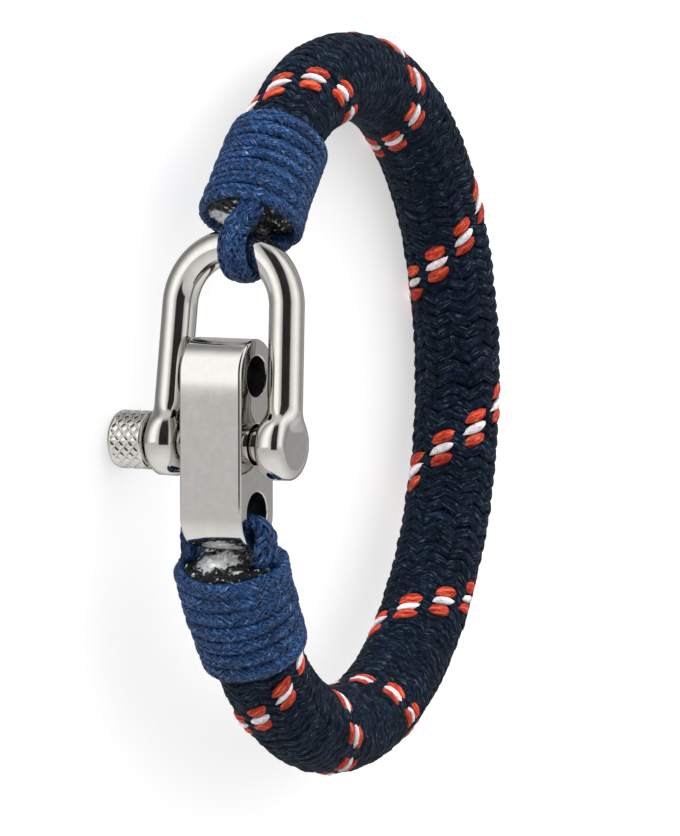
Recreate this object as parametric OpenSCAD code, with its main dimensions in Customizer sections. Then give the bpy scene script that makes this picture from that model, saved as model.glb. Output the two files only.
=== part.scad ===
// Rope bracelet: a braided rope loop, whipped at both ends, closed by a shackle and a three-hole bar.
// It lies on its side. Millimetres. +Z is up, the clasp faces -Y, and the floor is z = 0.
// Inside the tilted frame x runs along the bar, -y points out at the clasp, and z is the pin's axis.

/* [Rope loop] */
// Thickness of the braided rope
rope_d = 10; // [8:0.5:11]
// Mean radius of the rope's centre line
loop_mean = 32.8; // [30:0.1:38]
// How much longer than wide the loop is
loop_oval = 4.5; // [2:0.1:6]
// How much wider the clasp end is than the far end
loop_egg = 0.2; // [0:0.1:0.6]
// How square the loop's shoulders are
loop_square = 0.4; // [0:0.1:0.8]

/* [Whippings] */
// Outer diameter of the whipping at the shackle
top_whip_d = 12.2; // [11.8:0.1:13]
// Outer diameter of the whipping at the bar
bottom_whip_d = 12.9; // [12.6:0.1:13.4]
// Turns of cord in each whipping
whip_turns = 7; // [5:1:9]
// Place on the loop where the top whipping ends, in degrees from the far side
top_mouth = 140.5; // [139:0.5:141]
// Place on the loop where the bottom whipping ends, in degrees from the far side
bottom_mouth = 146.5; // [145:0.5:147]
// Sweep of each whipping along the loop, in degrees
whip_sweep = 22; // [18:0.5:24]

/* [Cord loops] */
// Width of the flat braided cord round the bow
cord_w = 3.4; // [2.8:0.1:3.6]
// Width of the same cord where the bar's hole squeezes it
squeezed_w = 2.9; // [2.4:0.1:3]
// Thickness of the flat braided cord
cord_t = 2; // [1.6:0.1:2.1]

/* [Adjuster bar] */
// Width of the bar along the pin
bar_w = 7.8; // [7:0.1:9]
// Depth of the bar, which is also the diameter of its round ends
bar_d = 7.8; // [7:0.1:8.4]
// Length of the bar
bar_len = 23.6; // [23:0.1:25]
// Diameter of the three holes
hole_d = 4.9; // [4.8:0.1:5.2]
// Distance between the holes
hole_pitch = 7.6; // [7.2:0.1:8]
// Chamfer at the mouths of the holes
hole_chamfer = 0.4; // [0.2:0.1:0.5]

/* [Shackle] */
// Diameter of the shackle's wire
wire_d = 4; // [3.5:0.1:4.4]
// Radius of the bow, to the middle of the wire
bow_r = 6.8; // [6.4:0.1:7.4]
// Height of the bow's centre above the pin
bow_h = 15.2; // [14.5:0.1:15.6]
// Angle by which each leg spreads towards its ear
leg_splay = 2; // [0:0.5:3]
// Diameter of the ears
ear_d = 7.8; // [7:0.1:8.4]
// Distance from the middle of the bar to an ear's inner face
ear_in = 5.6; // [5.2:0.1:6]
// Distance from the middle of the bar to an ear's outer face
ear_out = 8.7; // [8.4:0.1:9]

/* [Screw pin] */
// Diameter of the pin
pin_d = 4; // [3.5:0.1:4.2]
// Diameter of the knurled head
knob_d = 6.6; // [6:0.1:7.4]
// Distance from the middle of the bar to the head's inner face
knob_in = 9.2; // [9:0.1:9.6]
// Distance from the middle of the bar to the head's outer face
knob_out = 13.7; // [13:0.1:14.5]
// Diamonds round the knurl
knurl_count = 14; // [10:1:18]

/* [Clasp place] */
// Distance of the pin from the middle of the loop, outwards
pin_out = 27.8; // [27.6:0.1:28]
// Distance of the pin below the middle of the loop, towards the bar's end
pin_down = 4; // [3.9:0.1:4.1]
// Angle by which the bar and the shackle each lean in towards the wrist
clasp_lean = 3; // [2.5:0.5:3.5]

/* [Hidden] */
$fn = 48;
rope_r = rope_d / 2;
cord_gap = 0.15;           // between a cord loop and the metal that it holds
hole_gap = 0.3;            // between the bottom cord loop and the edge of its hole
sleeve_gap = 0.25;         // between the rope and its whipping
mouth_ease = 0.3;          // rounding of a whipping's bore at its mouth
turn_bulge = 0.35;         // depth of the groove between two turns of cord
pin_play = 0.06;           // between the pin and the ears' bores
rope_sides = 20;
rope_step = 5;             // degrees of the loop between two rings
cord_sides = 12;
seat_depth = 3.3;          // the rope stops this far inside a whipping's mouth
seat_gap = 0.35;           // between the rope's end and what lies on it
seal_recess = 0.8;         // the sealed end's rim lies this far inside the mouth
seal_thick = seat_depth - seal_recess - seat_gap;
strand_depth = seat_depth - seat_gap;
strand_margin = 0.2;       // between a strand of cord and the bore that it comes out of
seal_r = rope_r - 0.2;
knurl_depth = 0.25;
knob_bevel = 0.7;
knurl_rows = 5;
blind_end = 0.9;           // metal left between the threaded bore and the ear's outer face

// Centre line of the loop. The angle b is 0 at the far side and +180 or -180 at the clasp.
function loop_r(b) = loop_mean - loop_oval * cos(2 * b) + loop_egg * cos(3 * b) + loop_square * cos(4 * b);
function loop_point(b) = [-loop_r(b) * sin(b), loop_r(b) * cos(b), 0];
function loop_dir(b) = unit(loop_point(b + 0.1) - loop_point(b - 0.1));
function unit(v) = v / norm(v);

// Closed surface through rings of points that all have the same number of points.
// Each cell is cut in two along alternating diagonals, so the valleys of a knurl join up as grooves.
function cell(a, b, c, d, odd) = odd ? [[a, b, d], [b, c, d]] : [[a, b, c], [a, c, d]];
function band(i, next, k) = [for (j = [0 : k - 1])
    each cell(i * k + j, i * k + (j + 1) % k, next * k + (j + 1) % k, next * k + j, (i + j) % 2 == 1)];
module skin(rings, closed = false) {
    n = len(rings);
    k = len(rings[0]);
    points = [for (ring = rings) each ring];
    sides = [for (i = [0 : n - 2]) each band(i, i + 1, k)];
    ends = closed
        ? band(n - 1, 0, k)
        : [[for (j = [k - 1 : -1 : 0]) j], [for (j = [0 : k - 1]) (n - 1) * k + j]];
    polyhedron(points = points, faces = concat(sides, ends), convexity = 8);
}

// Ring of the given half sizes round a point, across the direction dir. The side vector sets its width.
function ring_at(point, dir, side, half_t, half_w, sides) =
    let (across = unit(side - (side * dir) * dir), up = cross(dir, across), turn = 360 / sides)
    [for (j = [0 : sides - 1]) point + half_t * cos(turn * j) * up + half_w * sin(turn * j) * across];

// Round ring of radius r at the angle b of the loop
function loop_ring(b, r) = ring_at(loop_point(b), loop_dir(b), [0, 0, 1], r, r, rope_sides);

// Angle along the loop that lies a given distance beyond angle b
function along(b, distance) = b + distance / loop_r(b) * 180 / PI;

// Rope, from one sealed end round the far side to the other
rope_from = -along(bottom_mouth, -seat_depth);
rope_to = along(top_mouth, -seat_depth);
rope_rings = ceil((rope_to - rope_from) / rope_step);
module rope() {
    step = (rope_to - rope_from) / rope_rings;
    color("midnightblue") skin([for (i = [0 : rope_rings]) loop_ring(rope_from + step * i, rope_r)]);
}

// Whipping: a wall round the rope whose outside bulges once for each turn of cord
module whipping(mouth, way, outer_d, bore_r) {
    crest_r = outer_d / 2;
    start = mouth - whip_sweep;
    turn = whip_sweep / whip_turns;
    turn_profile = [[0.04, turn_bulge], [0.3, 0.04], [0.7, 0.04], [0.96, turn_bulge]];
    bore_profile = [[0.998, mouth_ease], [0.975, 0], [0.75, 0], [0.5, 0], [0.25, 0], [0.002, 0]];
    outside = [for (i = [0 : whip_turns - 1], p = turn_profile) [start + (i + p[0]) * turn, crest_r - p[1]]];
    inside = [for (p = bore_profile) [start + whip_sweep * p[0], bore_r + p[1]]];
    profile = concat(outside, inside);
    rings = [for (p = profile) loop_ring(way * p[0], p[1])];
    color("royalblue") skin(way > 0 ? rings : [for (i = [len(rings) - 1 : -1 : 0]) rings[i]], closed = true);
}
top_bore_r = rope_r + sleeve_gap;
bottom_bore_r = rope_r + sleeve_gap + 0.3;
module whipping_top() { whipping(top_mouth, 1, top_whip_d, top_bore_r); }
module whipping_bottom() { whipping(bottom_mouth, -1, bottom_whip_d, bottom_bore_r); }

// Places children at a whipping's mouth with z out of the mouth and x along the pin's axis
module at_mouth(mouth, way) {
    dir = way * loop_dir(way * mouth);
    translate(loop_point(way * mouth)) rotate([0, 0, atan2(dir[1], dir[0])]) rotate([0, 90, 0]) children();
}

// Sealed end: the melted and glued end of the rope, with a slot on each side for the cord's strands
slot_t = cord_t + 0.3;
slot_w = cord_w + 0.4;
module sealed_end(mouth, way, strand_at, turned) {
    dome_h = 0.5;
    dome_r = (seal_r * seal_r + dome_h * dome_h) / (2 * dome_h);
    color("gainsboro") at_mouth(mouth, way) rotate([0, 0, turned]) difference() {
        union() {
            translate([0, 0, -seal_recess - seal_thick]) cylinder(r = seal_r, h = seal_thick);
            intersection() {
                translate([0, 0, -seal_recess + dome_h - dome_r]) sphere(r = dome_r);
                translate([0, 0, -seal_recess - 0.1]) cylinder(r = seal_r, h = 1);
            }
        }
        for (a = [0, 180]) rotate([0, 0, a]) translate([strand_at - slot_t / 2, -slot_w / 2, -seat_depth - 1])
            cube([seal_r, slot_w, seat_depth + 2]);
    }
}

// Strands of the cord loops leave the mouths this far from the middle
top_strand = top_bore_r - cord_t / 2 - strand_margin;
bottom_strand = bottom_bore_r - cord_t / 2 - strand_margin;
module sealed_end_top() { sealed_end(top_mouth, 1, top_strand, 90); }
module sealed_end_bottom() { sealed_end(bottom_mouth, -1, bottom_strand, 0); }

// Cord swept along a path, flat side against what it wraps
module flat_cord(path, side, width) {
    n = len(path);
    dir = function (i) unit(path[min(i + 1, n - 1)] - path[max(i - 1, 0)]);
    color("mediumblue") skin([for (i = [0 : n - 1])
        ring_at(path[i], dir(i), side, cord_t / 2, width / 2, cord_sides)]);
}

// Clasp frame: the pin's axis at z, and a frame for each leaning piece with y up along the piece
pin_at = [pin_down, -pin_out, 0];
function lean_point(lean, p) = pin_at + [-p[1] * cos(lean) - p[0] * sin(lean),
                                          p[1] * sin(lean) - p[0] * cos(lean), p[2]];

// Top loop: out of the mouth, round the middle of the bow and back in
wire_mid = lean_point(clasp_lean, [0, bow_h + bow_r, 0]);
wrap_r = wire_d / 2 + cord_gap + cord_t / 2;
function mouth_axis(mouth, way) = way * loop_dir(way * mouth);
module loop_top() {
    out = mouth_axis(top_mouth, 1);
    across = [-out[1], out[0], 0];
    middle = loop_point(top_mouth);
    strand = function (s, depth) middle - depth * out + s * top_strand * across;
    arc = [for (a = [100 : -20 : -100]) wire_mid + wrap_r * (cos(a) * out + sin(a) * across)];
    flat_cord(concat([strand(1, strand_depth), strand(1, 1.5), strand(1, 0.2)], arc,
                     [strand(-1, 0.2), strand(-1, 1.5), strand(-1, strand_depth)]), [0, 0, 1], cord_w);
}

// Bottom loop: out of the mouth, along both sides of the bar and through its lowest hole
low_hole = lean_point(-clasp_lean, [0, -hole_pitch, 0]);
bar_up = unit(lean_point(-clasp_lean, [0, 1, 0]) - pin_at);
seat_r = hole_chamfer + hole_gap + cord_t / 2;
module loop_bottom() {
    out = mouth_axis(bottom_mouth, -1);
    middle = loop_point(-bottom_mouth);
    corner_z = bar_w / 2 - hole_chamfer;
    corner = low_hole - (hole_d / 2 + hole_chamfer) * bar_up;
    side_z = bar_w / 2 + cord_gap + cord_t / 2;
    bar_end = low_hole - (bar_len / 2 - hole_pitch + 0.3) * bar_up;
    strand = function (s, depth) middle - depth * out + [0, 0, s * bottom_strand];
    bend = function (s, a) corner + seat_r * sin(a) * bar_up + [0, 0, s * (corner_z + seat_r * cos(a))];
    one_side = function (s) concat(
        [strand(s, strand_depth), strand(s, 1.5), strand(s, 0.4), bar_end + [0, 0, s * side_z]],
        [for (a = [0 : 18 : 90]) bend(s, a)]);
    left = one_side(-1);
    right = one_side(1);
    flat_cord(concat(left, [for (i = [len(right) - 1 : -1 : 0]) right[i]]), unit([-0.2, -1, 0]), squeezed_w);
}

// Places children in a leaning piece's frame: y up along the piece, x outwards, z along the pin
module leaning(lean) {
    translate(pin_at) rotate([0, 0, -lean]) rotate([0, 0, 90]) mirror([1, 0, 0]) children();
}

// Adjuster bar: full round ends and three chamfered holes
module adjuster_bar() {
    end_r = bar_d / 2;
    end_y = bar_len / 2 - end_r;
    color("silver") leaning(-clasp_lean) difference() {
        union() {
            for (s = [-1, 1]) translate([0, s * end_y, -bar_w / 2]) cylinder(r = end_r, h = bar_w);
            translate([-end_r, -end_y, -bar_w / 2]) cube([bar_d, 2 * end_y, bar_w]);
        }
        for (i = [-1 : 1]) translate([0, i * hole_pitch, 0]) {
            cylinder(d = hole_d, h = bar_w + 1, center = true);
            for (s = [0, 180]) rotate([s, 0, 0]) translate([0, 0, bar_w / 2 - hole_chamfer])
                cylinder(r1 = hole_d / 2, r2 = hole_d / 2 + 2 * hole_chamfer, h = 2 * hole_chamfer);
        }
    }
}

// Shackle: a bent wire bow with a flattened ball at the foot of each leg, one bored through, one blind
module shackle() {
    ear_mid = (ear_in + ear_out) / 2;
    ear_t = ear_out - ear_in;
    wire_r = wire_d / 2;
    bow_sweep = 180 - 2 * leg_splay;
    leg_top = [bow_r * cos(leg_splay), bow_h + bow_r * sin(leg_splay)];
    leg_len = leg_top[1] / cos(leg_splay);
    color("lightgray") leaning(clasp_lean) difference() {
        union() {
            translate([0, bow_h, 0]) rotate([0, -90, 0]) rotate([0, 0, leg_splay])
                rotate_extrude(angle = bow_sweep) translate([bow_r, 0]) circle(r = wire_r);
            for (s = [0, 180]) rotate([0, s, 0]) {
                translate([0, leg_top[1], leg_top[0]]) rotate([90 + leg_splay, 0, 0])
                    cylinder(r = wire_r, h = leg_len - ear_d / 4);
                intersection() {
                    translate([0, 0, ear_mid]) sphere(d = ear_d);
                    translate([0, 0, ear_in]) cylinder(d = ear_d + 2, h = ear_t);
                }
            }
        }
        translate([0, 0, -ear_out - 1]) cylinder(r = pin_d / 2 + pin_play, h = 2 * ear_out + 1 - blind_end);
    }
}

// Screw pin: a plain shank and a head whose knurl is a grid of diamond points
knurl_start = knob_in + 0.25;
knurl_end = knob_out - knob_bevel;
module knurled_head() {
    columns = 2 * knurl_count;
    peak_r = knob_d / 2;
    row_z = function (i) -(knurl_end - (knurl_end - knurl_start) * i / (knurl_rows - 1));
    circle_ring = function (r, z) [for (j = [0 : columns - 1])
        [r * cos(360 * j / columns), -r * sin(360 * j / columns), z]];
    knurl_ring = function (i) [for (j = [0 : columns - 1])
        let (r = peak_r - ((i + j) % 2) * knurl_depth)
        [r * cos(360 * j / columns), -r * sin(360 * j / columns), row_z(i)]];
    skin(concat([circle_ring(peak_r - knob_bevel, -knob_out)],
                [for (i = [0 : knurl_rows - 1]) knurl_ring(i)],
                [circle_ring(peak_r - knurl_depth, -knob_in)]));
}
module screw_pin() {
    shank_end = ear_out - blind_end - 0.2;
    color("silver") translate(pin_at) {
        rotate([0, 0, 90]) knurled_head();
        translate([0, 0, -knob_in - 0.5]) cylinder(d = pin_d, h = knob_in + 0.5 + shank_end);
    }
}

// Rest on the floor: the rim of the head's face and one point of the rope touch z = 0. The sideways
// lean is the one at which the weight hangs over the line between those two points.
rest_roll = 4.85;
rim_r = knob_d / 2 - knob_bevel;
rope_line = [for (b = [-140 : 0.5 : 134]) loop_point(b)];
function floor_normal(tilt) = [cos(tilt) * sin(rest_roll), -sin(tilt), cos(tilt) * cos(rest_roll)];
function rope_bottom(n) = min([for (p = rope_line) n * p]) - rope_r;
function head_bottom(n) = n * [pin_down, -pin_out, -knob_out] - rim_r * norm([n[0], n[1]]);
function level(low, high, rounds) = let (mid = (low + high) / 2, n = floor_normal(mid))
    rounds == 0 ? mid
    : head_bottom(n) < rope_bottom(n) ? level(mid, high, rounds - 1)
    : level(low, mid, rounds - 1);
rest_tilt = level(0, 20, 24);
lift = -rope_bottom(floor_normal(rest_tilt));

// The floor's own x and y, seen from the tilted frame, centre the footprint
side_axis = [cos(rest_roll), 0, -sin(rest_roll)];
back_axis = [sin(rest_tilt) * sin(rest_roll), cos(rest_tilt), sin(rest_tilt) * cos(rest_roll)];
rope_x = [for (p = rope_line) side_axis * p];
rope_y = [for (p = rope_line) back_axis * p];
front_y = back_axis * [pin_down, -pin_out, -knurl_end] - knob_d / 2 * norm([back_axis[0], back_axis[1]]);
middle_x = (max(rope_x) + min(rope_x)) / 2;
middle_y = (max(rope_y) + rope_r + front_y) / 2;
module resting() {
    translate([-middle_x, -middle_y, lift]) rotate([-rest_tilt, 0, 0]) rotate([0, -rest_roll, 0]) children();
}

resting() rope();
resting() whipping_top();
resting() whipping_bottom();
resting() sealed_end_top();
resting() sealed_end_bottom();
resting() loop_top();
resting() loop_bottom();
resting() shackle();
resting() adjuster_bar();
resting() screw_pin();
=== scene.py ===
import bpy
import math
import numpy as np
from mathutils import Matrix, Vector
from mathutils.geometry import tessellate_polygon


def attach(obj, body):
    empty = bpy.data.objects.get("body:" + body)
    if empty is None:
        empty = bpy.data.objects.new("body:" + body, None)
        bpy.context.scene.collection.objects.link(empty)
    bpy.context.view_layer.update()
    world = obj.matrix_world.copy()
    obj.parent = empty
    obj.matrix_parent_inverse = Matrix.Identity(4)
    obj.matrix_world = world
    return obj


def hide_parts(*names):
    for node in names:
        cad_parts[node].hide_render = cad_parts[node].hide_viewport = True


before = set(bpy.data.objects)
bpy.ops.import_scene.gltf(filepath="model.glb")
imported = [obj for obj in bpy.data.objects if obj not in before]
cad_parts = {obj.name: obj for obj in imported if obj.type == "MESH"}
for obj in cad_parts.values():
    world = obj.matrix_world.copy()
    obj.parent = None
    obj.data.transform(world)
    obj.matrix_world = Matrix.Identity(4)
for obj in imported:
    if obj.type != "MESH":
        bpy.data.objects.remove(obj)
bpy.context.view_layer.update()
random = np.random.default_rng(7)

# Sizes in millimetres in the bracelet's own tilted frame
# x runs along the bar, -y out at the clasp, and z along the pin
LOOP_MEAN, LOOP_OVAL, LOOP_EGG, LOOP_SQUARE = 32.8, 4.5, 0.2, 0.4
TOP_MOUTH, BOTTOM_MOUTH, WHIP_TURNS = 140.5, -146.5, 7
# Drift of the rope's middle along z near its two ends, at places on the loop in degrees
DRIFT_AT = [-152, -147, -141, -136, -127, -115, -105, -95, 88, 96, 104, 112, 118, 124, 130, 135, 141, 146]
DRIFT = [-0.32, -0.3, -0.22, 0.0, 0.1, 0, 0, 0, 0, 0, 0, 0.12, 0.4, 0.66, 0.62, 0.5, 0.35, 0.3]
WIRE_R, BOW_R, BOW_H, LEG_SPLAY = 2.0, 6.8, 15.2, 2.0
EAR_R, EAR_IN, EAR_MID, EAR_OUT = 4.05, 4.95, 7.2, 8.8
BAR_W, BAR_D, BAR_LEN, HOLE_R, HOLE_PITCH = 7.8, 7.8, 23.6, 2.45, 7.6
PIN_R, SHANK_FROM, SHANK_TO = 2.0, -9.6, 7.6
KNOB_R, KNOB_IN, KNOB_OUT = 3.3, 9.2, 13.7
KNURLS, KNURL_STEP, KNURL_DEPTH, KNURL_GROOVE = 16, 1.2, 0.15, 0.19
PIN_AT = np.array([4.0, -27.8, 0.0])
CLASP_LEAN = 3.0
# How the tilted frame lies on the floor: two angles in degrees, the lift and the shift
REST_ROLL, REST_TILT, LIFT, MIDDLE_Y = 4.85, 7.59186, 9.93003, 0.577578

rest = (Matrix.Translation((0, -MIDDLE_Y, LIFT))
        @ Matrix.Rotation(math.radians(-REST_TILT), 4, "X")
        @ Matrix.Rotation(math.radians(-REST_ROLL), 4, "Y"))
REST = np.array(rest)


def to_world(points):
    return (points @ REST[:3, :3].T + REST[:3, 3]) / 1000


def turn_to_world(vectors):
    return vectors @ REST[:3, :3].T


def unit(v):
    return v / np.linalg.norm(v, axis=-1, keepdims=True)


def power(values, exponent):
    """Values raised to a power, each keeping its sign."""
    return np.sign(values) * np.abs(values) ** exponent


def length_along(points):
    """Length from the first point of a path to each of its points."""
    return np.concatenate([[0], np.cumsum(np.linalg.norm(np.diff(points, axis=0), axis=1))])


# Camera: the photograph's angle to the bracelet
VIEW_TURN, VIEW_RISE, VIEW_ROLL = math.radians(28.0), math.radians(4.6), math.radians(3.0)
VIEW_DISTANCE, VIEW_LENS, VIEW_SENSOR, VIEW_SHIFT = 700.0, 261.05, 36, (-0.48, -1.68)


def photo_axis(along_r, along_u, along_a):
    """A direction from its parts along the two axes in the loop's plane and along the loop's own axis."""
    r = along_r * math.cos(VIEW_ROLL) + along_u * math.sin(VIEW_ROLL)
    u = -along_r * math.sin(VIEW_ROLL) + along_u * math.cos(VIEW_ROLL)
    return np.array([-u, -r, along_a])


sin_turn, cos_turn = math.sin(VIEW_TURN), math.cos(VIEW_TURN)
sin_rise, cos_rise = math.sin(VIEW_RISE), math.cos(VIEW_RISE)
PHOTO_RIGHT = turn_to_world(photo_axis(-sin_turn, 0, cos_turn))
PHOTO_UP = turn_to_world(photo_axis(-sin_rise * cos_turn, cos_rise, -sin_rise * sin_turn))
PHOTO_NEAR = turn_to_world(photo_axis(cos_rise * cos_turn, sin_rise, cos_rise * sin_turn))
eye = (to_world(np.zeros(3))
       + (VIEW_DISTANCE * PHOTO_NEAR + VIEW_SHIFT[0] * PHOTO_RIGHT + VIEW_SHIFT[1] * PHOTO_UP) / 1000)
camera_data = bpy.data.cameras.new("camera")
camera_data.lens = VIEW_LENS
camera_data.sensor_width = VIEW_SENSOR
camera_data.clip_start = 0.01
camera = bpy.data.objects.new("camera", camera_data)
bpy.context.scene.collection.objects.link(camera)
camera.matrix_world = Matrix([[PHOTO_RIGHT[i], PHOTO_UP[i], PHOTO_NEAR[i], eye[i]] for i in range(3)]
                             + [[0, 0, 0, 1]])
bpy.context.scene.camera = camera


def smooth_between(x, xs, ys):
    """A smooth curve through a few chosen points."""
    xs, ys = np.array(xs, float), np.array(ys, float)
    slope = np.gradient(ys, xs)
    i = np.clip(np.searchsorted(xs, x) - 1, 0, len(xs) - 2)
    h = xs[i + 1] - xs[i]
    t = (x - xs[i]) / h
    return ((2 * t ** 3 - 3 * t ** 2 + 1) * ys[i] + (t ** 3 - 2 * t ** 2 + t) * h * slope[i]
            + (-2 * t ** 3 + 3 * t ** 2) * ys[i + 1] + (t ** 3 - t ** 2) * h * slope[i + 1])


# Centre line of the rope
# b is the angle of a place on the loop, 0 opposite the clasp, and s the length along the line
# Both grow from the bottom mouth to the top mouth
LINE_FROM, LINE_TO, LINE_POINTS = -150, 145, 11801


def loop_radius(b):
    return LOOP_MEAN - LOOP_OVAL * np.cos(2 * b) + LOOP_EGG * np.cos(3 * b) + LOOP_SQUARE * np.cos(4 * b)


def loop_point(b):
    r = loop_radius(b)
    return np.stack([-r * np.sin(b), r * np.cos(b), smooth_between(np.degrees(b), DRIFT_AT, DRIFT)], -1)


line_b = np.radians(np.linspace(LINE_FROM, LINE_TO, LINE_POINTS))
line_points = loop_point(line_b)
line_s = length_along(line_points)
line_dir = unit(np.gradient(line_points, axis=0))
line_out = unit(np.stack([line_dir[:, 1], -line_dir[:, 0], 0 * line_b], -1))
line_out *= np.sign((line_out * line_points).sum(1))[:, None]
line_side = np.cross(line_dir, line_out)
line_side *= np.sign(line_side[:, 2])[:, None]
SIDE = np.array([0, 0, 1.0])


def s_at(degrees):
    """Length along the line at a place on the loop."""
    return float(np.interp(math.radians(degrees), line_b, line_s))


def on_line(table, s):
    """A table's values at lengths along the line."""
    return np.stack([np.interp(s, line_s, table[:, k]) for k in range(3)], -1)


def round_rope(s, theta, radius):
    """Points round the rope's middle, and the outward direction at each."""
    out = np.cos(theta)[..., None] * on_line(line_out, s) + np.sin(theta)[..., None] * on_line(line_side, s)
    return on_line(line_points, s) + np.asarray(radius)[..., None] * out, out


# The rope's two ends lie inside the whippings
ROPE_START = s_at(-140.36)
ROPE_END = s_at(134.53)


# Meshes from rings of points
def new_object(name, verts, faces, uv=None, tone=None, normals=None, soft=False):
    """One object from points in the tilted frame. A soft one is pressed flat where it rests."""
    mesh = bpy.data.meshes.new(name)
    placed = to_world(verts)
    if soft:
        placed[:, 2] = np.maximum(placed[:, 2], 0)
    mesh.from_pydata(placed.tolist(), [], faces)
    mesh.polygons.foreach_set("use_smooth", [True] * len(mesh.polygons))
    if uv is not None:
        layer = mesh.uv_layers.new(name="lay")
        layer.data.foreach_set("uv", np.asarray(uv, dtype=np.float32).ravel())
    if tone is not None:
        attribute = mesh.attributes.new("tone", "FLOAT", "POINT")
        attribute.data.foreach_set("value", np.asarray(tone, dtype=np.float32))
    if normals is not None:
        mesh.normals_split_custom_set_from_vertices(unit(turn_to_world(normals)).tolist())
    mesh.update()
    obj = bpy.data.objects.new(name, mesh)
    bpy.context.scene.collection.objects.link(obj)
    return obj


def ring_faces(rings, sides):
    """Faces between rings of points, and a fan at each end round the two points after the rings."""
    faces = []
    for i in range(rings - 1):
        for j in range(sides):
            k = (j + 1) % sides
            faces.append([i * sides + j, i * sides + k, (i + 1) * sides + k, (i + 1) * sides + j])
    for j in range(sides):
        k = (j + 1) % sides
        faces.append([rings * sides, k, j])
        faces.append([rings * sides + 1, (rings - 1) * sides + j, (rings - 1) * sides + k])
    return faces


def tube_arrays(points, across, up, half_w, half_t, sides, squareness=1.0):
    """Rings round a path, with a closed fan at each end. In the map, u goes round and v along in mm."""
    n = len(points)
    turn = 2 * math.pi * np.arange(sides) / sides
    c = power(np.cos(turn), squareness)
    s = power(np.sin(turn), squareness)
    rings = (points[:, None]
             + (half_w[:, None] * c)[..., None] * across[:, None]
             + (half_t[:, None] * s)[..., None] * up[:, None])
    length = length_along(points)
    verts = np.concatenate([rings.reshape(-1, 3), points[:1], points[-1:]])
    i, j = np.meshgrid(np.arange(n - 1), np.arange(sides), indexing="ij")
    i, j = i.ravel(), j.ravel()
    k = (j + 1) % sides
    quads = np.stack([i * sides + j, (i + 1) * sides + j, (i + 1) * sides + k, i * sides + k], -1)
    u0, u1 = j / sides, (j + 1) / sides
    quad_uv = np.stack([np.stack([u0, length[i]], -1), np.stack([u0, length[i + 1]], -1),
                        np.stack([u1, length[i + 1]], -1), np.stack([u1, length[i]], -1)], 1)
    a = np.arange(sides)
    b = (a + 1) % sides
    first = n * sides
    last_ring = (n - 1) * sides
    caps = np.concatenate([np.stack([np.full(sides, first), a, b], -1),
                           np.stack([np.full(sides, first + 1), last_ring + b, last_ring + a], -1)])
    cap_u = np.stack([a / sides + 0.5 / sides, a / sides, (a + 1) / sides], -1)
    cap_v = np.concatenate([np.zeros((sides, 3)), np.full((sides, 3), length[-1])])
    cap_uv = np.stack([np.concatenate([cap_u, cap_u[:, [0, 2, 1]]]), cap_v], -1)
    return verts, quads, quad_uv, caps, cap_uv


def tubes(name, parts):
    """One soft object from many tubes. Each part is (tube arrays, tone)."""
    verts, faces, uvs, tones, base = [], [], [], [], 0
    for (v, quads, quad_uv, caps, cap_uv), tone in parts:
        verts.append(v)
        faces += (quads + base).tolist() + (caps + base).tolist()
        uvs.append(np.concatenate([quad_uv.reshape(-1, 2), cap_uv.reshape(-1, 2)]))
        tones.append(np.full(len(v), tone))
        base += len(v)
    verts, uvs, tones = np.concatenate(verts), np.concatenate(uvs), np.concatenate(tones)
    return new_object(name, verts, faces, uvs, tones, soft=True)


def wave(values, sharpness):
    """A wave between -1 and 1 with flat tops."""
    return np.tanh(sharpness * np.cos(values)) / math.tanh(sharpness)


def wander(n, step, size):
    """Slowly changing random values of about the given size, one for each of n points."""
    knots = random.normal(0, size, int(n / step) + 4)
    return np.interp(np.arange(n) / step, np.arange(len(knots)), knots)


# Braided rope: 16 strands each way, each over two and under two
ROPE_STRANDS, ROPE_STEP = 16, 0.24
ROPE_MID, ROPE_RISE, ROPE_CORE_R = 4.47, 0.29, 4.15
STRAND_W, STRAND_T, FLOAT_LEAN = 0.8, 0.38, 0.062
# Where the rope narrows towards each whipping: the place in degrees, and the length and depth in mm
TOP_NECK, BOTTOM_NECK = (104, 8, 0.5), (-124, 4, 0.2)
# Angles round the rope at lengths from its start: the tracers' spiral and the columns of floats
SPIRAL_S = [0, 13.2, 27.5, 39.3, 56.1, 79.2, 104.4, 127.8, 150.3, 165]
SPIRAL_TURN = [2810, 2546, 2241, 1928, 1591, 1230, 865, 479, 40, -240]
COLUMN_S = [0, 14, 28, 56, 104, 128, 150, 165]
COLUMN_TURN = [51, 51, 38, 37, 34, 32, 40, 40]


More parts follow.
